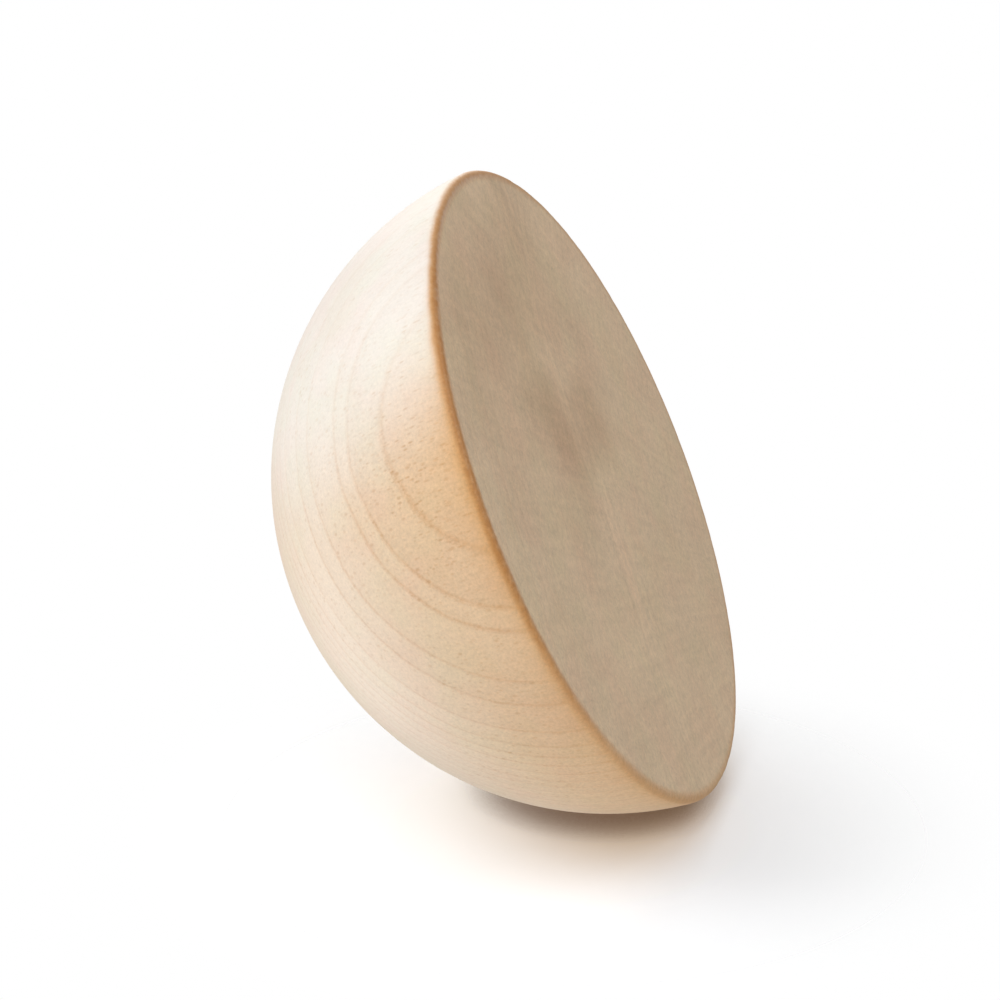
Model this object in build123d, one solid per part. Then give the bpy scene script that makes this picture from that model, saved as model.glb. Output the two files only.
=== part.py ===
from build123d import *

import os

# A split wooden ball: one turned ball sawn across near its middle, so that one solid half is left.
# Millimetres. The origin is the centre of the sawn face, which lies on Z = 0 and looks down.
# +Z runs up through the dome's pole.

# Driving dimensions
BALL_DIAMETER = 50.0  # the turned ball before it was sawn
SAW_LOSS = 1.2  # what the saw cut and the sanding took off this half, measured from the ball's middle
EDGE_ROUND = 0.5  # the rubbed-over edge between the sawn face and the dome


def turned_ball():
    """The whole ball, its middle below the sawn face by what the saw took."""
    middle = Pos(0, 0, -SAW_LOSS)
    return middle * Sphere(radius=BALL_DIAMETER / 2)


def sawn_half(ball):
    """The half above the saw cut, with a flat face on Z = 0."""
    return split(ball, bisect_by=Plane.XY, keep=Keep.TOP)


def eased(half):
    """The half with the sharp edge round its sawn face rubbed over."""
    sawn_face = half.faces().filter_by(GeomType.PLANE)[0]
    return fillet(sawn_face.edges(), radius=EDGE_ROUND)


half_ball = eased(sawn_half(turned_ball()))

os.makedirs("parts", exist_ok=True)
export_step(half_ball, "parts/half_ball.step")
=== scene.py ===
import math

import bpy
from bpy.props import FloatProperty, FloatVectorProperty, IntProperty, PointerProperty
from mathutils import Matrix, Vector


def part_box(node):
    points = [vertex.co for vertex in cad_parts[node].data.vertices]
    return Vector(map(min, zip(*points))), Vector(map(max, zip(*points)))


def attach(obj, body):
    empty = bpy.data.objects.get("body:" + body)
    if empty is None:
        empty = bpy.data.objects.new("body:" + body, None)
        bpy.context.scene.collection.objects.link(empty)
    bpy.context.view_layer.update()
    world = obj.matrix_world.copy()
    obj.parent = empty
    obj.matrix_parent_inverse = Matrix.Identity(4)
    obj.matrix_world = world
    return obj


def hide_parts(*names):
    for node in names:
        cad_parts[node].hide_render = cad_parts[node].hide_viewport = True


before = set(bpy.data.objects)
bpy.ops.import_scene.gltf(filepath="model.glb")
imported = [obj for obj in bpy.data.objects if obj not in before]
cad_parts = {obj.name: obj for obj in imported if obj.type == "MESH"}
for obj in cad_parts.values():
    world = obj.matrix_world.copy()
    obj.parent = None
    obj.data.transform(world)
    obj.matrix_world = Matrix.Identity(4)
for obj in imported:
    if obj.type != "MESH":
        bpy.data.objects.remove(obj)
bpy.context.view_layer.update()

bl_info = {
    "name": "Split Wooden Ball",
    "version": (1, 0, 0),
    "blender": (4, 5, 0),
    "location": "View3D > Sidebar > Split Ball",
    "description": "Turns the half ball, gives it bare wood and sets it on a pale studio stage",
    "category": "Object",
}

# Units and the frame's own sizes, in metres
MM = 0.001
PER_MM = 1000.0
HALF_LOW, HALF_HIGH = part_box("half_ball")
HALF_HEIGHT = HALF_HIGH.z - HALF_LOW.z
HALF_WIDTH = 2 * min(HALF_HIGH.x, HALF_HIGH.y, -HALF_LOW.x, -HALF_LOW.y)
MERGE_DISTANCE = 0.001 * MM

# Wear on the form. The dips fade out between these shares of the edge's round from the rim, and the ripples
# are whole at this share of it up the dome. A noise is given by its fineness per mm, detail and roughness.
DIP_FADE_SHARES = (0.3, 1.6)
DIP_NOISE = (0.55, 3.0, 0.6)
DIP_LEVELS = (0.45, 0.75)
RIPPLE_WHOLE_SHARE = 3.0
RIPPLE_NOISE = (0.14, 2.0, 0.5)

# Growth rings: how deep each dark line lies under the side that is nearest the bark, in mm
RING_DEPTHS = (1.17, 2.50, 3.21, 5.18, 6.41, 8.13, 9.25, 10.15, 10.95, 11.85, 12.75, 13.55)
INNER_RING_GAP = 0.95

# How far the rings stray from a true round in mm, slowly and in a fine shiver, and how each noise is
# squeezed along X, Y and the grain
RING_WANDER = 0.35
WANDER_NOISE, WANDER_SQUEEZE = (0.13, 2.0, 0.5), (1.0, 1.0, 0.4)
RING_SHIVER = 0.10
SHIVER_NOISE, SHIVER_SQUEEZE = (1.6, 2.0, 0.5), (1.0, 1.0, 0.3)

# The dark line of a ring: where it fades out in mm and how strong it is, from which share of the year the
# wood darkens towards it and how far, and at which depth in mm how much of it is left
LINE_FADE, LINE_STRENGTH = (0.02, 0.13), 0.85
LATE_WOOD_FROM_SHARE, LATE_WOOD_STRENGTH = 0.35, 0.28
INNER_LINE_DEPTH, INNER_LINE_LEFT = 14.0, 0.40

# What breaks up the lines and crowds the pores: noise, the levels it runs between, and the least that is left
LINE_DOTS = ((2.8, 3.0, 0.7), (0.35, 0.60), 0.40)
LINE_PATCHES = ((0.30, 2.0, 0.5), (0.30, 0.60), 0.55)
PORE_CROWDS = ((0.16, 2.0, 0.5), (0.35, 0.65), 0.45)

# Streaks along the rings, in mm for each radian round the pith, and rays across them: how each is squeezed
STREAK_NOISE, STREAK_TURN, STREAK_UP = (1.3, 3.0, 0.6), 6.0, 0.05
RAY_NOISE, RAY_INWARD, RAY_UP = (0.9, 2.0, 0.5), 0.18, 0.2

# Tubes along the grain: fineness per mm, squeeze along the grain and the chance below which none shows
PORES = (2.1, 0.55, 0.2)
FINE_PORES, FINE_PORE_STRENGTH = (3.6, 0.50, 0.1), 0.8
HAIRS = (3.4, 0.28, 0.2)
TUBE_WALL = (0.08, 0.40)

# Soft figure in the wood: how it is squeezed along the grain, and its noise
SOFT_FIGURE = {
    "Fibre": (0.16, (3.0, 4.0, 0.7)),
    "Fuzz": (1.0, (1.5, 4.0, 0.75)),
    "Speckle": (1.0, (4.5, 3.0, 0.7)),
    "Cloud": (1.0, (0.11, 3.0, 0.5)),
}

# Tinted patches in the wood: how far each lies off in the noise, which is the same for both
MOTTLE_SHIFTS = {"Pinkish": 31.0, "Greenish": 67.0}
MOTTLE_NOISE, MOTTLE_LEVELS = (0.17, 3.0, 0.6), (0.42, 0.66)

# How far each figure swings the wood's brightness, on the dome and on the sawn face
GRAIN_SWINGS = {"Fibre": (0.20, 0.08), "Speckle": (0.46, 0.40), "Fuzz": (0.05, 0.44), "Cloud": (0.05, 0.20)}
RING_SWINGS = {"Tone": (0.02, 0.02), "Streak": (0.05, 0.04), "Ray": (0.0, 0.17)}

# The rubbed edge: distance over the edge from the sawn face in mm, how amber the wood is there where its
# margin is wide and where it is narrow, and how strong the burnished band is. The amber and the band are
# partly burnished wood and partly painted shade on the round-over
EDGE_RUB_AND_SHADE = (
    (-0.55, 0.0, 0.0, 0.0),
    (-0.40, 0.0, 0.0, 0.14),
    (-0.25, 0.08, 0.14, 0.42),
    (-0.10, 0.20, 0.36, 0.74),
    (0.05, 0.38, 0.60, 0.94),
    (0.20, 0.60, 0.82, 1.0),
    (0.35, 0.85, 0.92, 0.93),
    (0.50, 0.95, 0.92, 0.72),
    (0.65, 0.92, 0.88, 0.34),
    (0.80, 0.82, 0.70, 0.09),
    (1.00, 0.68, 0.38, 0.0),
    (1.20, 0.57, 0.12, 0.0),
    (1.60, 0.42, 0.0, 0.0),
    (2.40, 0.24, 0.0, 0.0),
    (3.80, 0.09, 0.0, 0.0),
    (6.50, 0.0, 0.0, 0.0),
)

# Where the sawn face gives way to the edge, in mm, and how the edge wavers, spreads and breaks up
FACE_END = (-0.35, 0.05)
WAVER, WAVER_NOISE = 0.36, (2.4, 2.0, 0.6)
SPREAD_NOISE, SPREAD_LEVELS, SPREAD_SHARES = (0.35, 3.0, 0.6), (0.25, 0.75), (0.85, 1.15)
RUB_NOISE, RUB_LEVELS, RUB_SHARES = (1.7, 2.0, 0.6), (0.35, 0.60), (0.72, 1.15)

# Around the half ball: where the band is strongest, and where the amber margin and the band are narrow,
# how narrow they get there and how strong the band still is, so that their painted shade changes round
# the ball as the light does. Facing is 1 at an azimuth and 0 a quarter turn away from it.
RUB_AZIMUTH, RUB_FACING = math.radians(77.0), (0.40, 0.97)
RUB_LEAST, RUB_MOST = 0.22, 1.0
AMBER_LEAST = 0.72
NARROW_AZIMUTH, NARROW_FACING = math.radians(125.0), (0.55, 0.85)
NARROWEST_SHARE, NARROWEST_FACING = 0.66, (0.80, 0.99)
NARROW_RUB, NARROW_RUB_FACING = 0.64, (0.60, 0.98)

# The saw's marks: the way they run across the face, a point in mm that they pass through, how they are
# squeezed along that way, how far from it they fade in mm and how plain they are
SAW_AZIMUTH = math.radians(152.0)
SAW_PASSES = (-0.44, -0.67, 0.0)
SAW_NOISE, SAW_SQUEEZE = (1.3, 1.0, 0.5), 0.05
SAW_FADE, SAW_PLAINNESS = (1.0, 4.0), 0.30

# Darker patches on the sawn face: middle across the face and reach in mm, and how strong they are
FACE_PATCHES = (
    ((-2.4, 4.6, 0.0), 8.0, 0.85),
    ((-6.2, -1.3, 0.0), 7.0, 0.65),
    ((6.5, 5.3, 0.0), 8.0, 0.20),
    ((-4.2, 17.2, 0.0), 16.0, 0.55),
    ((-14.4, 7.2, 0.0), 13.0, 0.55),
)

# Between which heights the dome's colour turns from the rim's to the crown's, in mm, the crown painted
# paler where the lamps fall from above, and between which shares of the ball's radius towards the
# painted highlight it takes on the highlight's colour
CROWN_HEIGHTS = (2.0, 17.0)
HIGHLIGHT_SHARES = (0.60, 0.93)

# How much of the figure is left under the painted highlight, the painted light of the crown counting in
# part, and how much of the ring lines, hairs and pores shows where
CALMEST, CROWN_CALM = 0.45, 0.7
LINES_ON_FACE, LINES_IN_HIGHLIGHT = 0.5, 0.3
HAIRS_INSIDE = 0.15
PORES_ON_DOME, PORES_ON_FACE = 0.85, 0.25

# How rough and how deep the surface is, and its gloss
DOME_ROUGHNESS, FACE_ROUGHER, RUB_SMOOTHER = 0.50, 0.12, 0.10
RELIEF_STRENGTH, RELIEF_DEPTH = 0.5, 0.025 * MM
GLOSS = 0.5

# Floors: between which shares of their reach they fade into the white, and from which place on them
TABLE_FADE_SHARES, TABLE_FADE_MIDDLE = (0.20, 0.82), (-0.06, -0.18, 0.0)
BENCH_FADE_SHARES, BENCH_FADE_MIDDLE = (0.30, 0.82), (0.0, 0.0, 0.0)
FLOOR_CLEARANCE = 0.02 * MM

# Painted contact shadow: how near the half ball a floor darkens, in metres, and between which shares of open
# sky
CONTACT_REACH = 3.2 * MM
CONTACT_SHARES = (0.05, 0.65)
CONTACT_SAMPLES = 8

# Lamps: name, direction in the picture's axes (right, up, towards the camera) and strength in watts; all
# stand equally far off and are equally wide, in metres
LAMP_DISTANCE, LAMP_WIDTH = 0.60, 0.40
LAMPS = (
    ("left_lamp", (-0.80, 0.57, 0.12), 1.98),
    ("back_lamp", (-0.15, 0.65, -0.74), 0.75),
    ("top_lamp", (-0.18, 0.70, 0.69), 1.12),
    ("low_front_lamp", (-0.42, -0.72, 0.55), 1.25),
    ("low_right_lamp", (0.42, -0.72, 0.55), 0.60),
    ("low_back_lamp", (-0.67, -0.52, -0.52), 1.12),
    ("right_lamp", (0.74, 0.61, 0.27), 0.74),
)

# The camera's sensor in mm, and how near it sees in metres
SENSOR_WIDTH = 36.0
NEAREST_SIGHT = 1.0 * MM


class HalfBallSizes(bpy.types.PropertyGroup):
    """What a turner could change on the half ball."""

    edge_round: FloatProperty(
        name="Edge Round",
        description="Radius of the rubbed-over edge between the sawn face and the dome",
        default=0.5 * MM,
        unit="LENGTH",
    )
    edge_wear: FloatProperty(
        name="Edge Wear",
        description="Depth of the shallow dips along the rubbed edge",
        default=0.035 * MM,
        unit="LENGTH",
    )
    sanding_ripple: FloatProperty(
        name="Sanding Ripple",
        description="Depth of the slow unevenness that sanding left on the dome",
        default=0.012 * MM,
        unit="LENGTH",
    )
    segments: IntProperty(
        name="Segments",
        description="Steps around the half ball",
        default=512,
    )
    face_rows: IntProperty(
        name="Face Rows",
        description="Rows from the middle of the sawn face to its edge",
        default=30,
    )
    edge_rows: IntProperty(
        name="Edge Rows",
        description="Rows over the rubbed edge",
        default=16,
    )
    dome_rows: IntProperty(
        name="Dome Rows",
        description="Rows from the rubbed edge to the pole",
        default=110,
    )
    seed: FloatProperty(
        name="Seed",
        description="Picks the pattern of the dips and ripples",
        default=4.0,
    )


class WoodFinish(bpy.types.PropertyGroup):
    """Colours and figure of the bare wood."""

    dome_colour: FloatVectorProperty(
        name="Dome",
        description="Wood along the grain, turned and sanded",
        subtype="COLOR",
        default=(0.812, 0.577, 0.361),
    )
    # Painted light: the crown's colour is the same wood painted paler and less warm higher up, where the
    # lamps fall from above.
    lit_crown_colour: FloatVectorProperty(
        name="Crown",
        description="The same wood higher up, where hands have not darkened it",
        subtype="COLOR",
        default=(0.848, 0.70, 0.55),
    )
    # Painted highlight: the wood paled towards white around one place on the dome, set by the azimuth and
    # elevation below, stands in for strong light there.
    highlight_colour: FloatVectorProperty(
        name="Painted Highlight",
        description="The same wood where it is palest",
        subtype="COLOR",
        default=(0.885, 0.818, 0.742),
    )
    highlight_azimuth: FloatProperty(
        name="Highlight Azimuth",
        description="On which side of the dome the palest place lies",
        default=math.radians(120.0),
        subtype="ANGLE",
    )
    highlight_elevation: FloatProperty(
        name="Highlight Elevation",
        description="How high up the dome the palest place lies",
        default=math.radians(22.0),
        subtype="ANGLE",
    )
    face_colour: FloatVectorProperty(
        name="Sawn Face",
        description="End grain of the sawn face",
        subtype="COLOR",
        default=(0.805, 0.605, 0.405),
    )
    # Partly painted shade: the burnished band's colour also stands in for the shade on the round-over.
    burnish_shade_colour: FloatVectorProperty(
        name="Rubbed And Shaded Edge",
        description="The burnished edge between the sawn face and the dome",
        subtype="COLOR",
        default=(0.57, 0.252, 0.070),
    )
    # Partly painted shade: the amber margin is warm wood and also the shade next to the round-over.
    amber_shade_colour: FloatVectorProperty(
        name="Amber And Shaded Margin",
        description="The dome's wood next to the burnished edge",
        subtype="COLOR",
        default=(0.71, 0.38, 0.142),
    )
    ring_tint: FloatVectorProperty(
        name="Ring Line",
        description="What the dark line at the end of a year's growth lets through",
        subtype="COLOR",
        default=(0.87, 0.76, 0.66),
    )
    patch_tint: FloatVectorProperty(
        name="Face Patch",
        description="What the darker patches of the sawn face let through",
        subtype="COLOR",
        default=(0.82, 0.752, 0.705),
    )
    mottle_tints: FloatVectorProperty(
        name="Mottle",
        description="How much red and blue the greenish and how much green and blue the pinkish patches lose",
        size=2,
        default=(0.025, 0.035),
    )
    pore_tint: FloatVectorProperty(
        name="Pores",
        description="What an open pore lets through",
        subtype="COLOR",
        default=(0.80, 0.68, 0.56),
    )
    pith_distance: FloatProperty(
        name="Pith Distance",
        description="How far the tree's middle lies from the ball's axis",
        default=53.9 * MM,
        unit="LENGTH",
    )
    pith_azimuth: FloatProperty(
        name="Pith Azimuth",
        description="Direction from the ball's axis to the tree's middle",
        default=math.radians(253.2),
        subtype="ANGLE",
    )
    pith_lean: FloatVectorProperty(
        name="Pith Lean",
        description="Sideways run of the tree's middle for each unit of height",
        size=3,
        default=(0.043, 0.016, 0.0),
    )


class StageSettings(bpy.types.PropertyGroup):
    """Where the camera stands and how bright the studio is."""

    view_azimuth: FloatProperty(
        name="View Azimuth",
        description="Direction from the half ball to the camera, around its axis",
        default=math.radians(56.44),
        subtype="ANGLE",
    )
    view_elevation: FloatProperty(
        name="View Elevation",
        description="Camera's height over the plane of the sawn face; below it looks at the face",
        default=math.radians(-19.54),
        subtype="ANGLE",
    )
    view_roll: FloatProperty(
        name="View Roll",
        description="How far the camera is rolled clockwise",
        default=math.radians(110.36),
        subtype="ANGLE",
    )
    view_distance: FloatProperty(
        name="View Distance",
        description="From the camera to the ball's middle, along the view",
        default=300.0 * MM,
        unit="LENGTH",
    )
    aim_right: FloatProperty(
        name="Aim Right",
        description="How far right of the picture's middle the ball's middle lies",
        default=7.99 * MM,
        unit="LENGTH",
    )
    aim_up: FloatProperty(
        name="Aim Up",
        description="How far above the picture's middle the ball's middle lies",
        default=1.70 * MM,
        unit="LENGTH",
    )
    focal_length: FloatProperty(
        name="Focal Length",
        description="Lens of the camera, in mm on its sensor",
        default=145.1,
    )
    table_angle: FloatProperty(
        name="Table Angle",
        description="How steeply the camera looks down on the table that the tipped half ball lies on",
        default=math.radians(20.0),
        subtype="ANGLE",
    )
    table_reach: FloatProperty(
        name="Table Reach",
        description="How far the pale table reaches from the point that the dome touches",
        default=42.0 * MM,
        unit="LENGTH",
    )
    bench_reach: FloatProperty(
        name="Bench Reach",
        description="Half the width of the bench under the sawn face",
        default=250.0 * MM,
        unit="LENGTH",
    )
    fill: FloatProperty(
        name="Fill",
        description="Strength of the even light from all around",
        default=0.30,
    )
    floor_colour: FloatVectorProperty(
        name="Floor",
        description="Colour of the table and the bench",
        subtype="COLOR",
        default=(1.08, 1.10, 1.13),
    )
    # Painted contact shadow: the floor's colour where the half ball comes close to it.
    contact_shadow_colour: FloatVectorProperty(
        name="Contact Shadow",
        description="Colour of the floor right where the half ball comes close to it",
        subtype="COLOR",
        default=(0.28, 0.215, 0.185),
    )


class Nodes:
    """Writes nodes into a tree and feeds their sockets with values or with other nodes."""

    STEP = 180.0
    GIVE_NUMBERS = ("LENGTH", "DISTANCE", "DOT_PRODUCT")

    def __init__(self, tree):
        self.tree = tree

    def add(self, kind, feeds=None, **settings):
        """A new node with the given settings and its sockets fed by name or index."""
        node = self.tree.nodes.new(kind)
        node.location.x = self.STEP * len(self.tree.nodes)
        for name, value in settings.items():
            setattr(node, name, value)
        for socket, value in (feeds or {}).items():
            self.feed(node.inputs[socket], value)
        return node

    def feed(self, socket, value):
        """Links an output to the socket, or sets the socket's own value."""
        if isinstance(value, bpy.types.Node):
            value = value.outputs[0]
        if isinstance(value, bpy.types.NodeSocket):
            self.tree.links.new(value, socket)
        else:
            socket.default_value = value

    def math(self, operation, *values):
        """One step of arithmetic on numbers."""
        return self.add("ShaderNodeMath", dict(enumerate(values)), operation=operation).outputs[0]

    def vector(self, operation, *values):
        """One step of arithmetic on vectors."""
        node = self.add("ShaderNodeVectorMath", dict(enumerate(values)), operation=operation)
        return node.outputs["Value" if operation in self.GIVE_NUMBERS else "Vector"]

    def scaled(self, vector, scale):
        """A vector, or a colour, times a number."""
        node = self.add("ShaderNodeVectorMath", {"Vector": vector, "Scale": scale}, operation="SCALE")
        return node.outputs["Vector"]

    def split(self, vector):
        """The three numbers of a vector."""
        return self.add("ShaderNodeSeparateXYZ", {0: vector}).outputs

    def joined(self, x, y, z):
        """A vector of three numbers."""
        return self.add("ShaderNodeCombineXYZ", {0: x, 1: y, 2: z}).outputs[0]

    def ranged(self, value, low, high, to_low=0.0, to_high=1.0, kind="LINEAR"):
        """The value carried from one range to another and kept inside it."""
        feeds = {0: value, 1: low, 2: high, 3: to_low, 4: to_high}
        return self.add("ShaderNodeMapRange", feeds, interpolation_type=kind).outputs[0]

    def between(self, share, at_none, at_all):
        """A number that goes from one value to another as the share goes from 0 to 1."""
        return self.ranged(share, 0.0, 1.0, at_none, at_all)

    def swung(self, value, swing, onto):
        """A noise's departure from its middle, times a swing, on top of another number."""
        return self.math("MULTIPLY_ADD", self.math("SUBTRACT", value, 0.5), swing, onto)

    def noise(self, position, fineness, detail, roughness):
        """Soft noise from 0 to 1."""
        feeds = {"Vector": position, "Scale": fineness, "Detail": detail, "Roughness": roughness}
        return self.add("ShaderNodeTexNoise", feeds).outputs[0]

    def blotches(self, position, noise, levels, least):
        """Blotches from a least value to 1."""
        return self.ranged(self.noise(position, *noise), *levels, least, 1.0)

    def mixed(self, first, second, amount, way="MIX"):
        """A colour between two colours."""
        node = self.add("ShaderNodeMix", data_type="RGBA", blend_type=way)
        self.feed(node.inputs[0], amount)
        self.feed(node.inputs[6], first)
        self.feed(node.inputs[7], second)
        return node.outputs[2]

    def tinted(self, colour, tint, amount):
        """The colour multiplied by a tint, by the given amount."""
        return self.mixed(colour, tint, amount, "MULTIPLY")


def new_group(name, kind, inputs, outputs):
    """A node group with named sockets: its Nodes, its inputs by name and its output node."""
    tree = bpy.data.node_groups.new(name, kind)
    for socket, socket_type in inputs:
        tree.interface.new_socket(socket, in_out="INPUT", socket_type=socket_type)
    for socket, socket_type in outputs:
        tree.interface.new_socket(socket, in_out="OUTPUT", socket_type=socket_type)
    nodes = Nodes(tree)
    return nodes, nodes.add("NodeGroupInput").outputs, nodes.add("NodeGroupOutput")


def new_material(name):
    """An empty material and its Nodes."""
    material = bpy.data.materials.new(name)
    material.use_nodes = True
    material.node_tree.nodes.clear()
    return material, Nodes(material.node_tree)


def rgba(colour):
    """A property's colour with full alpha."""
    return (*colour, 1.0)


def level_direction(azimuth):
    """The level direction at an azimuth."""
    return (math.cos(azimuth), math.sin(azimuth), 0.0)


def direction(azimuth, elevation):
    """The direction at an azimuth and an elevation."""
    level = math.cos(elevation)
    return (level * math.cos(azimuth), level * math.sin(azimuth), math.sin(elevation))


# The turned half ball


def ball_sizes(sizes):
    """Radius of the whole ball and what the saw took from this half, from the frame's box."""
    rim = HALF_WIDTH / 2 - sizes.edge_round
    radius = (HALF_HEIGHT + rim**2 / (HALF_HEIGHT - 2 * sizes.edge_round)) / 2
    return radius, radius - HALF_HEIGHT


def profile_position(nodes, given):
    """Where each grid point goes, on one profile from the face's middle to the pole; the rim's radius."""
    grid = nodes.split(nodes.add("GeometryNodeInputPosition").outputs[0])
    edge_start = given["Face Rows"]
    dome_start = nodes.math("ADD", edge_start, given["Edge Rows"])
    rows = nodes.math("ADD", dome_start, given["Dome Rows"])
    row = nodes.math("ADD", grid[1], nodes.math("MULTIPLY", rows, 0.5))
    ball, edge = given["Ball Radius"], given["Edge Round"]
    inner = nodes.math("SUBTRACT", ball, edge)
    meeting_height = nodes.math("ADD", edge, given["Saw Loss"])
    meeting = nodes.math("ARCSINE", nodes.math("DIVIDE", meeting_height, inner))
    rim = nodes.math("MULTIPLY", inner, nodes.math("COSINE", meeting))
    face_reach = nodes.ranged(row, 0.0, edge_start, 0.0, rim)
    edge_angle = nodes.ranged(row, edge_start, dome_start, -math.pi / 2, meeting)
    dome_angle = nodes.ranged(row, dome_start, rows, meeting, math.pi / 2)

    def beyond(function):
        """How far the dome runs past the edge, across or up."""
        gain = nodes.math("SUBTRACT", nodes.math(function, dome_angle), nodes.math(function, meeting))
        return nodes.math("MULTIPLY", gain, ball)

    across = nodes.math("MULTIPLY_ADD", edge, nodes.math("COSINE", edge_angle), face_reach)
    across = nodes.math("ADD", across, beyond("COSINE"))
    up = nodes.math("MULTIPLY_ADD", edge, nodes.math("SINE", edge_angle), edge)
    up = nodes.math("ADD", up, beyond("SINE"))
    x = nodes.math("MULTIPLY", across, nodes.math("COSINE", grid[0]))
    y = nodes.math("MULTIPLY", across, nodes.math("SINE", grid[0]))
    return nodes.joined(x, y, up), rim


def worn_offset(nodes, given, rim):
    """How far handling and sanding took each point in, along its normal."""
    place = nodes.add("GeometryNodeInputPosition").outputs[0]
    drawn = nodes.vector("ADD", place, nodes.joined(given["Seed"], 0.0, 0.0))
    part = nodes.split(place)
    edge = given["Edge Round"]

    def drawn_noise(fineness, *shape):
        """Noise at the place that the seed draws, with its fineness given per mm."""
        return nodes.noise(drawn, fineness * PER_MM, *shape)

    out = nodes.vector("LENGTH", nodes.joined(part[0], part[1], 0.0))
    past_edge = nodes.math("SUBTRACT", nodes.math("SUBTRACT", out, rim), edge)
    from_edge = nodes.vector("LENGTH", nodes.joined(past_edge, part[2], 0.0))
    fade = [nodes.math("MULTIPLY", edge, share) for share in DIP_FADE_SHARES]
    near_edge = nodes.ranged(from_edge, *fade, 1.0, 0.0, "SMOOTHSTEP")
    dips = nodes.ranged(drawn_noise(*DIP_NOISE), *DIP_LEVELS, kind="SMOOTHSTEP")
    wear = nodes.math("MULTIPLY", nodes.math("MULTIPLY", near_edge, dips), given["Edge Wear"])
    whole = nodes.math("MULTIPLY", edge, RIPPLE_WHOLE_SHARE)
    on_dome = nodes.ranged(part[2], edge, whole, kind="SMOOTHSTEP")
    ripple = nodes.math("MULTIPLY", drawn_noise(*RIPPLE_NOISE), given["Sanding Ripple"])
    inwards = nodes.math("MULTIPLY_ADD", ripple, on_dome, wear)
    normal = nodes.add("GeometryNodeInputNormal").outputs[0]
    return nodes.scaled(normal, nodes.math("MULTIPLY", inwards, -1.0))


def half_ball_tree():
    """Geometry nodes that turn the half ball from its sizes."""
    lengths = ("Ball Radius", "Saw Loss", "Edge Round", "Edge Wear", "Sanding Ripple", "Seed")
    counts = ("Segments", "Face Rows", "Edge Rows", "Dome Rows")
    inputs = [(name, "NodeSocketFloat") for name in lengths]
    inputs += [(name, "NodeSocketInt") for name in counts]
    inputs.append(("Wood", "NodeSocketMaterial"))
    outputs = [("Geometry", "NodeSocketGeometry")]
    nodes, given, result = new_group("Turned Half Ball", "GeometryNodeTree", inputs, outputs)
    rows = nodes.math("ADD", nodes.math("ADD", given["Face Rows"], given["Edge Rows"]), given["Dome Rows"])
    grid = nodes.add("GeometryNodeMeshGrid", {
        "Size X": 2 * math.pi,
        "Size Y": rows,
        "Vertices X": nodes.math("ADD", given["Segments"], 1.0),
        "Vertices Y": nodes.math("ADD", rows, 1.0),
    })
    place, rim = profile_position(nodes, given)
    turned = nodes.add("GeometryNodeSetPosition", {"Geometry": grid, "Position": place})
    closed = nodes.add("GeometryNodeMergeByDistance", {"Geometry": turned, "Distance": MERGE_DISTANCE})
    offset = worn_offset(nodes, given, rim)
    worn = nodes.add("GeometryNodeSetPosition", {"Geometry": closed, "Offset": offset})
    smooth = nodes.add("GeometryNodeSetShadeSmooth", {"Geometry": worn})
    real = nodes.add("GeometryNodeRealizeInstances", {"Geometry": smooth})
    finished = nodes.add("GeometryNodeSetMaterial", {"Geometry": real, "Material": given["Wood"]})
    nodes.feed(result.inputs["Geometry"], finished)
    return nodes.tree


def turned_mesh(tree, values):
    """The mesh that the tree makes from the given values."""
    blank = bpy.data.objects.new("blank", bpy.data.meshes.new("blank"))
    bpy.context.scene.collection.objects.link(blank)
    modifier = blank.modifiers.new("Turned Half Ball", "NODES")
    modifier.node_group = tree
    for item in tree.interface.items_tree:
        if item.in_out == "INPUT":
            modifier[item.identifier] = values[item.name]
    evaluated = blank.evaluated_get(bpy.context.evaluated_depsgraph_get())
    mesh = bpy.data.meshes.new_from_object(evaluated)
    mesh.materials.clear()
    mesh.materials.append(values["Wood"])
    bpy.data.objects.remove(blank)
    return mesh


# The wood


def ring_lines(nodes, place, depth):
    """How many years lie outside a point, and how dark the line that ends a year's growth is there."""
    deeper = nodes.math("MAXIMUM", nodes.math("SUBTRACT", depth, RING_DEPTHS[-1]), 0.0)
    first_year = nodes.ranged(depth, 0.0, RING_DEPTHS[0])
    count = nodes.math("MULTIPLY_ADD", deeper, 1.0 / INNER_RING_GAP, first_year)
    from_line = nodes.math("PINGPONG", deeper, INNER_RING_GAP / 2)
    from_line = nodes.math("MAXIMUM", from_line, nodes.math("SUBTRACT", RING_DEPTHS[-1], depth))
    for outer, inner in zip(RING_DEPTHS, RING_DEPTHS[1:]):
        count = nodes.math("ADD", count, nodes.ranged(depth, outer, inner))
        off = nodes.math("ABSOLUTE", nodes.math("SUBTRACT", depth, outer))
        from_line = nodes.math("MINIMUM", from_line, off)
    year_share = nodes.math("FRACT", count)
    late = nodes.ranged(year_share, LATE_WOOD_FROM_SHARE, 1.0, 0.0, LATE_WOOD_STRENGTH)
    thin = nodes.ranged(from_line, *LINE_FADE, LINE_STRENGTH, 0.0, "SMOOTHSTEP")
    dotted = nodes.math("MULTIPLY", thin, nodes.blotches(place, *LINE_DOTS))
    line = nodes.math("MULTIPLY_ADD", dotted, nodes.blotches(place, *LINE_PATCHES), late)
    left = nodes.ranged(depth, 0.0, INNER_LINE_DEPTH, 1.0, INNER_LINE_LEFT)
    return count, nodes.math("MULTIPLY", line, left)


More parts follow.
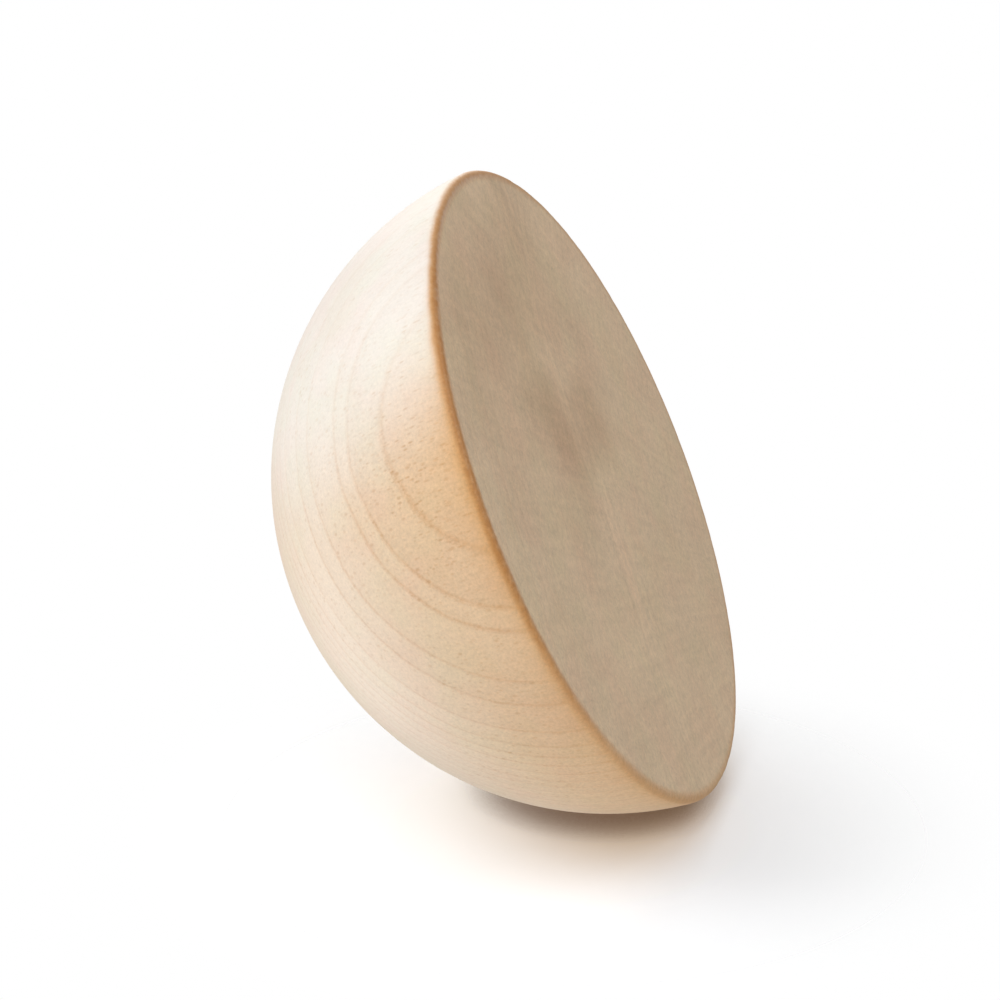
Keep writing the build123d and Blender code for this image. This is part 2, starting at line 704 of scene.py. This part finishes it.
def growth_rings():
    """Shader group: the dark line that ends each year's growth, each year's tone, fine streaks and rays."""
    inputs = [
        ("Position", "NodeSocketVector"),
        ("Pith", "NodeSocketVector"),
        ("Lean", "NodeSocketVector"),
        ("Bark Radius", "NodeSocketFloat"),
        ("Wander", "NodeSocketFloat"),
    ]
    outputs = [(name, "NodeSocketFloat") for name in ("Line", "Tone", "Streak", "Ray", "Outermost")]
    nodes, given, result = new_group("Growth Rings", "ShaderNodeTree", inputs, outputs)
    place = given["Position"]
    height = nodes.split(place)[2]
    middle = nodes.vector("ADD", given["Pith"], nodes.scaled(given["Lean"], height))
    spoke = nodes.split(nodes.vector("SUBTRACT", place, middle))
    reach = nodes.vector("LENGTH", nodes.joined(spoke[0], spoke[1], 0.0))
    slow = nodes.noise(nodes.vector("MULTIPLY", place, WANDER_SQUEEZE), *WANDER_NOISE)
    fine = nodes.noise(nodes.vector("MULTIPLY", place, SHIVER_SQUEEZE), *SHIVER_NOISE)
    stray = nodes.swung(slow, given["Wander"], nodes.swung(fine, RING_SHIVER, 0.0))
    depth = nodes.math("ADD", nodes.math("SUBTRACT", given["Bark Radius"], reach), stray)
    count, line = ring_lines(nodes, place, depth)
    year = nodes.add("ShaderNodeTexWhiteNoise", {"W": nodes.math("FLOOR", count)}, noise_dimensions="1D")
    turn = nodes.math("ARCTAN2", spoke[1], spoke[0])
    along_ring = nodes.math("MULTIPLY", turn, STREAK_TURN)
    streaks = nodes.joined(depth, along_ring, nodes.math("MULTIPLY", height, STREAK_UP))
    inward = nodes.math("MULTIPLY", depth, RAY_INWARD)
    round_pith = nodes.math("MULTIPLY", turn, given["Bark Radius"])
    rays = nodes.joined(inward, round_pith, nodes.math("MULTIPLY", height, RAY_UP))
    nodes.feed(result.inputs["Line"], line)
    nodes.feed(result.inputs["Tone"], year.outputs["Value"])
    nodes.feed(result.inputs["Streak"], nodes.noise(streaks, *STREAK_NOISE))
    nodes.feed(result.inputs["Ray"], nodes.noise(rays, *RAY_NOISE))
    nodes.feed(result.inputs["Outermost"], nodes.ranged(depth, *RING_DEPTHS[:2], 1.0, 0.0))
    return nodes.tree


def vessels():
    """Shader group: pores, hairs and soft figure, drawn out along the grain, which is the Z axis."""
    inputs = [("Position", "NodeSocketVector")]
    names = ("Pore", "Hair", *SOFT_FIGURE, *MOTTLE_SHIFTS)
    outputs = [(name, "NodeSocketFloat") for name in names]
    nodes, given, result = new_group("Vessels", "ShaderNodeTree", inputs, outputs)
    place = given["Position"]

    def along_grain(squeeze):
        """The place squeezed along the grain, which draws a pattern out along it."""
        return nodes.vector("MULTIPLY", place, (1.0, 1.0, squeeze))

    def tubes(fineness, squeeze, least):
        """Short dark tubes along the grain, each with its own strength."""
        cells = nodes.add("ShaderNodeTexVoronoi", {"Vector": along_grain(squeeze), "Scale": fineness})
        hole = nodes.ranged(cells.outputs["Distance"], *TUBE_WALL, 1.0, 0.0, "SMOOTHSTEP")
        chance = nodes.split(cells.outputs["Color"])[0]
        return nodes.math("MULTIPLY", hole, nodes.ranged(chance, least, 1.0))

    fine_pores = nodes.math("MULTIPLY", tubes(*FINE_PORES), FINE_PORE_STRENGTH)
    pores = nodes.math("MAXIMUM", tubes(*PORES), fine_pores)
    crowded = nodes.math("MULTIPLY", pores, nodes.blotches(place, *PORE_CROWDS))
    nodes.feed(result.inputs["Pore"], crowded)
    nodes.feed(result.inputs["Hair"], tubes(*HAIRS))
    for name, (squeeze, noise) in SOFT_FIGURE.items():
        nodes.feed(result.inputs[name], nodes.noise(along_grain(squeeze), *noise))
    for name, shift in MOTTLE_SHIFTS.items():
        patch = nodes.noise(nodes.vector("ADD", place, (shift, 0.0, 0.0)), *MOTTLE_NOISE)
        nodes.feed(result.inputs[name], nodes.ranged(patch, *MOTTLE_LEVELS, kind="SMOOTHSTEP"))
    return nodes.tree


def distance_over_edge(nodes, given):
    """How far over the edge a point lies, in mm from where the sawn face ends; less than 0 on the face."""
    part = nodes.split(given["Position"])
    edge = given["Edge Round"]
    out = nodes.vector("LENGTH", nodes.joined(part[0], part[1], 0.0))
    past_rim = nodes.math("SUBTRACT", out, given["Rim"])
    past_rim = nodes.swung(nodes.noise(given["Position"], *WAVER_NOISE), WAVER, past_rim)
    below = nodes.math("SUBTRACT", edge, nodes.math("MINIMUM", part[2], edge))
    low = nodes.math("GREATER_THAN", below, 0.0)
    on_face = nodes.math("MULTIPLY", nodes.math("MINIMUM", past_rim, 0.0), low)
    angle = nodes.math("ARCTAN2", nodes.math("MAXIMUM", past_rim, 0.0), below)
    above = nodes.math("MAXIMUM", nodes.math("SUBTRACT", part[2], edge), 0.0)
    return nodes.math("ADD", nodes.math("MULTIPLY_ADD", angle, edge, on_face), above)


def rub_and_shade_ramp(nodes, over):
    """The three strengths that EDGE_RUB_AND_SHADE gives at a distance over the edge."""
    first, last = EDGE_RUB_AND_SHADE[0][0], EDGE_RUB_AND_SHADE[-1][0]
    ramp = nodes.add("ShaderNodeValToRGB", {0: nodes.ranged(over, first, last)})
    stops = ramp.color_ramp.elements
    for _ in EDGE_RUB_AND_SHADE[2:]:
        stops.new(0.5)
    for stop, (distance, *strengths) in zip(stops, EDGE_RUB_AND_SHADE):
        stop.position = (distance - first) / (last - first)
        stop.color = rgba(strengths)
    return nodes.split(ramp)


def rub_and_shade_edge():
    """Shader group: where the sawn face is, how amber its margin is and how burnished the edge is, both
    partly painted shade on the round-over.
    """
    inputs = [
        ("Position", "NodeSocketVector"),
        ("Rim", "NodeSocketFloat"),
        ("Edge Round", "NodeSocketFloat"),
    ]
    outputs = [(name, "NodeSocketFloat") for name in ("Face", "Amber", "Rub And Shade")]
    nodes, given, result = new_group("Rubbed And Shaded Edge", "ShaderNodeTree", inputs, outputs)
    place = given["Position"]

    def facing(azimuth):
        """How far round towards an azimuth the point lies: 1 there, 0 at a right angle to it."""
        along = nodes.vector("DOT_PRODUCT", place, level_direction(azimuth))
        return nodes.math("DIVIDE", along, given["Rim"])

    over = distance_over_edge(nodes, given)
    spread = nodes.ranged(nodes.noise(place, *SPREAD_NOISE), *SPREAD_LEVELS, *SPREAD_SHARES)
    to_narrow = facing(NARROW_AZIMUTH)
    squeezed = nodes.ranged(to_narrow, *NARROWEST_FACING, 1.0, NARROWEST_SHARE, "SMOOTHSTEP")
    spread = nodes.math("MULTIPLY", spread, squeezed)
    over_dome = nodes.math("DIVIDE", nodes.math("MAXIMUM", over, 0.0), spread)
    spread_over = nodes.math("ADD", over_dome, nodes.math("MINIMUM", over, 0.0))
    # How amber the margin is and how strong the burnished band is, both partly painted shade on the
    # round-over.
    wide, narrow, band = rub_and_shade_ramp(nodes, spread_over)
    # How strong the rub and its painted shade are round the ball.
    rub_shade_strength = nodes.ranged(facing(RUB_AZIMUTH), *RUB_FACING, RUB_LEAST, RUB_MOST)
    narrow_rub_shade = nodes.ranged(to_narrow, *NARROW_RUB_FACING, RUB_LEAST, NARROW_RUB)
    rub_shade_strength = nodes.math("MAXIMUM", rub_shade_strength, narrow_rub_shade)
    narrowed = nodes.ranged(to_narrow, *NARROW_FACING, kind="SMOOTHSTEP")
    amber = nodes.add("ShaderNodeMix", {0: narrowed, 2: wide, 3: narrow})
    amber_left = nodes.ranged(rub_shade_strength, RUB_LEAST, RUB_MOST, AMBER_LEAST, 1.0)
    patchy = nodes.ranged(nodes.noise(place, *RUB_NOISE), *RUB_LEVELS, *RUB_SHARES)
    patchy_band = nodes.math("MULTIPLY", band, patchy)
    nodes.feed(result.inputs["Face"], nodes.ranged(over, *FACE_END, 1.0, 0.0, "SMOOTHSTEP"))
    nodes.feed(result.inputs["Amber"], nodes.math("MULTIPLY", amber, amber_left))
    nodes.feed(result.inputs["Rub And Shade"], nodes.math("MULTIPLY", patchy_band, rub_shade_strength))
    return nodes.tree


def place_group(nodes, tree, feeds):
    """A group node with its inputs fed by name; its outputs."""
    node = nodes.add("ShaderNodeGroup", node_tree=tree)
    for name, value in feeds.items():
        nodes.feed(node.inputs[name], value)
    return node.outputs


def place_rings(nodes, place, finish):
    """The growth rings about the tree's middle; the group's outputs."""
    azimuth, away = finish.pith_azimuth, finish.pith_distance * PER_MM
    return place_group(nodes, growth_rings(), {
        "Position": place,
        "Pith": (away * math.cos(azimuth), away * math.sin(azimuth), 0.0),
        "Lean": tuple(finish.pith_lean),
        "Bark Radius": away + HALF_WIDTH / 2 * PER_MM,
        "Wander": RING_WANDER,
    })


def place_edge(nodes, place, sizes):
    """The sawn face and its rubbed edge with its painted shade; the group's outputs."""
    return place_group(nodes, rub_and_shade_edge(), {
        "Position": place,
        "Rim": (HALF_WIDTH / 2 - sizes.edge_round) * PER_MM,
        "Edge Round": sizes.edge_round * PER_MM,
    })


def painted_highlight(nodes, place, sizes, finish):
    """How strongly the painted highlight shows, around its brightest place."""
    radius, loss = ball_sizes(sizes)
    from_middle = nodes.vector("ADD", place, (0.0, 0.0, loss * PER_MM))
    towards = direction(finish.highlight_azimuth, finish.highlight_elevation)
    along = nodes.vector("DOT_PRODUCT", from_middle, towards)
    bounds = [share * radius * PER_MM for share in HIGHLIGHT_SHARES]
    return nodes.ranged(along, *bounds, kind="SMOOTHSTEP")


def saw_marks(nodes, place):
    """A few long faint lines that the saw left across the middle of the face, and how plain they are."""
    ahead = level_direction(SAW_AZIMUTH)
    aside = level_direction(SAW_AZIMUTH + math.pi / 2)
    place = nodes.vector("SUBTRACT", place, SAW_PASSES)
    far_ahead = nodes.vector("DOT_PRODUCT", place, ahead)
    far_aside = nodes.vector("DOT_PRODUCT", place, aside)
    drawn_out = nodes.joined(far_aside, nodes.math("MULTIPLY", far_ahead, SAW_SQUEEZE), 0.0)
    off = nodes.math("ABSOLUTE", far_aside)
    plainness = nodes.ranged(off, *SAW_FADE, SAW_PLAINNESS, 0.0, "SMOOTHSTEP")
    return nodes.noise(drawn_out, *SAW_NOISE), plainness


def figure_brightness(nodes, figures, calm, face):
    """How much lighter or darker the figures make the wood; each has its swing on the dome and the face."""
    brightness = 1.0
    for value, on_dome, on_face in figures:
        swing = nodes.between(face, nodes.math("MULTIPLY", calm, on_dome), on_face)
        brightness = nodes.swung(value, swing, brightness)
    return brightness


def with_face_patches(nodes, colour, place, cloud, face, tint):
    """The colour with the darker patches of the sawn face, their borders blurred by a cloud."""
    for middle, reach, strength in FACE_PATCHES:
        from_patch = nodes.vector("LENGTH", nodes.vector("SUBTRACT", place, middle))
        from_patch = nodes.swung(cloud, reach, from_patch)
        patch = nodes.ranged(from_patch, 0.0, reach, strength, 0.0, "SMOOTHSTEP")
        colour = nodes.tinted(colour, rgba(tint), nodes.math("MULTIPLY", patch, face))
    return colour


def with_mottle(nodes, colour, grain, tints):
    """The colour with its greenish and pinkish patches."""
    less_red, less_green = tints
    colour = nodes.tinted(colour, (1.0 - less_red, 1.0, 1.0 - less_red, 1.0), grain["Greenish"])
    return nodes.tinted(colour, (1.0, 1.0 - less_green, 1.0 - less_green, 1.0), grain["Pinkish"])


def with_lines_and_pores(nodes, colour, rings, grain, edge, pale, calm, finish):
    """The colour with the rings' dark lines, the hairs of the outermost year and the open pores."""
    on_dome = nodes.math("SUBTRACT", 1.0, nodes.math("MAXIMUM", edge["Face"], edge["Rub And Shade"]))
    shown = nodes.between(on_dome, LINES_ON_FACE, 1.0)
    # Ring lines fade under the painted highlight.
    shown = nodes.math("MULTIPLY", shown, nodes.between(pale, 1.0, LINES_IN_HIGHLIGHT))
    colour = nodes.tinted(colour, rgba(finish.ring_tint), nodes.math("MULTIPLY", rings["Line"], shown))
    # Hairs and pores are calmed where the painted light is strongest.
    hairs = nodes.math("MULTIPLY", grain["Hair"], nodes.between(rings["Outermost"], HAIRS_INSIDE, 1.0))
    hairs = nodes.math("MULTIPLY", hairs, nodes.math("MULTIPLY", calm, on_dome))
    colour = nodes.tinted(colour, rgba(finish.pore_tint), hairs)
    open_pores = nodes.between(edge["Face"], nodes.math("MULTIPLY", calm, PORES_ON_DOME), PORES_ON_FACE)
    return nodes.tinted(colour, rgba(finish.pore_tint), nodes.math("MULTIPLY", grain["Pore"], open_pores))


def bare_wood(sizes, finish):
    """Bare pale hardwood: straight grain up the dome, end grain on the sawn face, a rubbed edge with painted
    shade, and painted light on the crown and in a highlight.
    """
    material, nodes = new_material("turned_bare_wood")
    place = nodes.scaled(nodes.add("ShaderNodeTexCoord").outputs["Object"], PER_MM)
    rings = place_rings(nodes, place, finish)
    grain = place_group(nodes, vessels(), {"Position": place})
    edge = place_edge(nodes, place, sizes)
    # Painted highlight and painted light on the crown: the wood is paler where the lamps fall strongest.
    pale = painted_highlight(nodes, place, sizes, finish)
    crown = nodes.ranged(nodes.split(place)[2], *CROWN_HEIGHTS, kind="SMOOTHSTEP")
    colour = nodes.mixed(rgba(finish.dome_colour), rgba(finish.lit_crown_colour), crown)
    colour = nodes.mixed(colour, rgba(finish.highlight_colour), pale)
    colour = nodes.mixed(colour, rgba(finish.face_colour), edge["Face"])
    # The figure is calmed where the painted light is strongest, as if washed out by it.
    most_lit = nodes.math("MAXIMUM", pale, nodes.math("MULTIPLY", crown, CROWN_CALM))
    calm = nodes.between(most_lit, 1.0, CALMEST)
    saw_lines, plainness = saw_marks(nodes, place)
    figures = [(grain[name], *swings) for name, swings in GRAIN_SWINGS.items()]
    figures += [(rings[name], *swings) for name, swings in RING_SWINGS.items()]
    figures.append((saw_lines, 0.0, plainness))
    brightness = figure_brightness(nodes, figures, calm, edge["Face"])
    colour = nodes.scaled(colour, brightness)
    colour = with_face_patches(nodes, colour, place, grain["Cloud"], edge["Face"], finish.patch_tint)
    colour = with_mottle(nodes, colour, grain, finish.mottle_tints)
    colour = with_lines_and_pores(nodes, colour, rings, grain, edge, pale, calm, finish)
    # The amber margin and the burnished band: partly the wood's colour and partly painted shade of the
    # round-over.
    for tint, amount in ((finish.amber_shade_colour, edge["Amber"]), (finish.burnish_shade_colour, edge["Rub And Shade"])):
        colour = nodes.mixed(colour, nodes.scaled(tuple(tint), brightness), amount)
    relief = nodes.math("MULTIPLY_ADD", grain["Pore"], -1.0, grain["Fibre"])
    bump = nodes.add("ShaderNodeBump", {
        "Strength": RELIEF_STRENGTH,
        "Distance": RELIEF_DEPTH,
        "Height": relief,
    })
    roughness = nodes.math("MULTIPLY_ADD", edge["Face"], FACE_ROUGHER, DOME_ROUGHNESS)
    roughness = nodes.math("MULTIPLY_ADD", edge["Rub And Shade"], -RUB_SMOOTHER, roughness)
    shader = nodes.add("ShaderNodeBsdfPrincipled", {
        "Base Color": colour,
        "Roughness": roughness,
        "Specular IOR Level": GLOSS,
        "Normal": bump,
    })
    nodes.add("ShaderNodeOutputMaterial", {"Surface": shader})
    return material


class SPLITBALL_OT_turn_half(bpy.types.Operator):
    """Turn the half ball in bare wood, in place of the plain solid"""

    bl_idname = "split_ball.turn_half"
    bl_label = "Turn Half Ball"

    def execute(self, context):
        sizes = context.scene.half_ball_sizes
        radius, loss = ball_sizes(sizes)
        wood = bare_wood(sizes, context.scene.wood_finish)
        mesh = turned_mesh(half_ball_tree(), {
            "Ball Radius": radius,
            "Saw Loss": loss,
            "Edge Round": sizes.edge_round,
            "Edge Wear": sizes.edge_wear,
            "Sanding Ripple": sizes.sanding_ripple,
            "Seed": sizes.seed,
            "Segments": sizes.segments,
            "Face Rows": sizes.face_rows,
            "Edge Rows": sizes.edge_rows,
            "Dome Rows": sizes.dome_rows,
            "Wood": wood,
        })
        if not mesh.polygons:
            raise RuntimeError("the half ball came out empty")
        mesh.name = "turned_half_ball"
        piece = bpy.data.objects.new("turned_half_ball", mesh)
        context.scene.collection.objects.link(piece)
        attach(piece, "root")
        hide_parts("half_ball")
        return {"FINISHED"}


# The stage


def picture_axes(stage):
    """The picture's right, its up and the way to the camera, in the half ball's own axes."""
    towards = Vector(direction(stage.view_azimuth, stage.view_elevation))
    level_right = Vector(level_direction(stage.view_azimuth + math.pi / 2))
    right = Matrix.Rotation(-stage.view_roll, 3, towards) @ level_right
    return right, towards.cross(right), towards


def in_picture(axes, parts):
    """A vector given by its parts along the picture's axes."""
    return sum((axis * part for axis, part in zip(axes, parts)), Vector())


def standing(origin, right, up, normal):
    """A placing with its own X, Y and Z along the given directions."""
    turned = Matrix((right, up, normal)).transposed().to_4x4()
    return Matrix.Translation(origin) @ turned


def floor_material(name, stage, fade_shares, fade_middle):
    """Pale floor that only shows from above, with a painted contact shadow near the half ball; it fades out
    around a point, where the white takes over.
    """
    material, nodes = new_material(name)
    upper_side = nodes.math("SUBTRACT", 1.0, nodes.add("ShaderNodeNewGeometry").outputs["Backfacing"])
    out = nodes.vector("DISTANCE", nodes.add("ShaderNodeTexCoord").outputs["Object"], fade_middle)
    left = nodes.ranged(out, *fade_shares, 1.0, 0.0, "SMOOTHSTEP")
    shown = nodes.math("MULTIPLY", upper_side, left)
    # Painted contact shadow: the floor's colour darkens where little open sky is seen near the half ball.
    occlusion = nodes.add("ShaderNodeAmbientOcclusion", {"Distance": CONTACT_REACH}, samples=CONTACT_SAMPLES)
    lit = nodes.ranged(occlusion.outputs["AO"], *CONTACT_SHARES, kind="SMOOTHSTEP")
    colour = nodes.mixed(rgba(stage.contact_shadow_colour), rgba(stage.floor_colour), lit)
    clear = nodes.add("ShaderNodeBsdfTransparent")
    pale = nodes.add("ShaderNodeBsdfDiffuse", {"Color": colour})
    blend = nodes.add("ShaderNodeMixShader", {0: shown, 1: clear, 2: pale})
    nodes.add("ShaderNodeOutputMaterial", {"Surface": blend})
    return material


def add_floor(name, placing, reach, material):
    """A square floor of the given reach; it takes shadows and throws no light back."""
    mesh = bpy.data.meshes.new(name)
    corners = [(-1.0, -1.0, 0.0), (1.0, -1.0, 0.0), (1.0, 1.0, 0.0), (-1.0, 1.0, 0.0)]
    mesh.from_pydata(corners, [], [(0, 1, 2, 3)])
    mesh.materials.append(material)
    floor = bpy.data.objects.new(name, mesh)
    floor.matrix_world = placing @ Matrix.Scale(reach, 4)
    floor.visible_diffuse = False
    floor.visible_glossy = False
    floor.visible_transmission = False
    floor.visible_shadow = False
    bpy.context.scene.collection.objects.link(floor)


def add_table(stage, axes, middle, radius):
    """The table that the tipped dome touches in the picture."""
    right, up, towards = axes
    table_up = up * math.cos(stage.table_angle) + towards * math.sin(stage.table_angle)
    touch = middle - table_up * (radius + FLOOR_CLEARANCE)
    placing = standing(touch, right, table_up.cross(right), table_up)
    material = floor_material("table_white", stage, TABLE_FADE_SHARES, TABLE_FADE_MIDDLE)
    add_floor("table", placing, stage.table_reach, material)


def add_bench(stage):
    """The level bench under the sawn face."""
    placing = Matrix.Translation((0.0, 0.0, HALF_LOW.z - FLOOR_CLEARANCE))
    material = floor_material("bench_white", stage, BENCH_FADE_SHARES, BENCH_FADE_MIDDLE)
    add_floor("bench", placing, stage.bench_reach, material)


def white_world(fill):
    """Even light all around; the camera sees plain white."""
    world = bpy.data.worlds.new("white_studio")
    world.use_nodes = True
    world.node_tree.nodes.clear()
    nodes = Nodes(world.node_tree)
    seen = nodes.add("ShaderNodeLightPath").outputs["Is Camera Ray"]
    strength = nodes.between(seen, fill, 1.0)
    light = nodes.add("ShaderNodeBackground", {"Color": (1.0, 1.0, 1.0, 1.0), "Strength": strength})
    nodes.add("ShaderNodeOutputWorld", {"Surface": light})
    bpy.context.scene.world = world


def add_lamp(name, middle, away, strength):
    """A square soft lamp that looks at the half ball."""
    light = bpy.data.lights.new(name, "AREA")
    light.size = LAMP_WIDTH
    light.energy = strength
    lamp = bpy.data.objects.new(name, light)
    lamp.location = middle + away.normalized() * LAMP_DISTANCE
    lamp.rotation_euler = away.to_track_quat("Z", "Y").to_euler()
    lamp.visible_camera = False
    bpy.context.scene.collection.objects.link(lamp)


def add_camera(stage, axes, middle):
    """The camera at the photograph's viewing angle."""
    right, up, towards = axes
    aim = middle - right * stage.aim_right - up * stage.aim_up
    lens = bpy.data.cameras.new("camera")
    lens.sensor_width = SENSOR_WIDTH
    lens.lens = stage.focal_length
    lens.clip_start = NEAREST_SIGHT
    camera = bpy.data.objects.new("camera", lens)
    camera.matrix_world = standing(aim + towards * stage.view_distance, right, up, towards)
    bpy.context.scene.collection.objects.link(camera)
    bpy.context.scene.camera = camera


class SPLITBALL_OT_set_stage(bpy.types.Operator):
    """Set the pale table and bench, the soft lamps, the white world and the camera"""

    bl_idname = "split_ball.set_stage"
    bl_label = "Set Stage"

    def execute(self, context):
        stage = context.scene.split_ball_stage
        radius, loss = ball_sizes(context.scene.half_ball_sizes)
        middle = Vector((0.0, 0.0, HALF_LOW.z - loss))
        axes = picture_axes(stage)
        add_table(stage, axes, middle, radius)
        add_bench(stage)
        for name, parts, strength in LAMPS:
            add_lamp(name, middle, in_picture(axes, parts), strength)
        white_world(stage.fill)
        add_camera(stage, axes, middle)
        context.scene.view_settings.view_transform = "Standard"
        return {"FINISHED"}


class SPLITBALL_PT_panel(bpy.types.Panel):
    """Sizes, finish and stage of the split wooden ball"""

    bl_idname = "SPLITBALL_PT_panel"
    bl_label = "Split Wooden Ball"
    bl_space_type = "VIEW_3D"
    bl_region_type = "UI"
    bl_category = "Split Ball"

    def draw(self, context):
        for owner, operator in (
            ("half_ball_sizes", SPLITBALL_OT_turn_half.bl_idname),
            ("wood_finish", None),
            ("split_ball_stage", SPLITBALL_OT_set_stage.bl_idname),
        ):
            settings = getattr(context.scene, owner)
            box = self.layout.box()
            for name in settings.__annotations__:
                box.prop(settings, name)
            if operator:
                box.operator(operator)


SETTINGS = {
    "half_ball_sizes": HalfBallSizes,
    "wood_finish": WoodFinish,
    "split_ball_stage": StageSettings,
}
CLASSES = (*SETTINGS.values(), SPLITBALL_OT_turn_half, SPLITBALL_OT_set_stage, SPLITBALL_PT_panel)


def register():
    """Registers the classes and hangs the settings on the scene."""
    for item in CLASSES:
        bpy.utils.register_class(item)
    for name, group in SETTINGS.items():
        setattr(bpy.types.Scene, name, PointerProperty(type=group))


def unregister():
    """Takes the settings and the classes away again."""
    for name in SETTINGS:
        delattr(bpy.types.Scene, name)
    for item in reversed(CLASSES):
        bpy.utils.unregister_class(item)


def main():
    """Builds the half ball and its stage."""
    register()
    bpy.ops.split_ball.turn_half()
    bpy.ops.split_ball.set_stage()


if __name__ == "__main__":
    main()
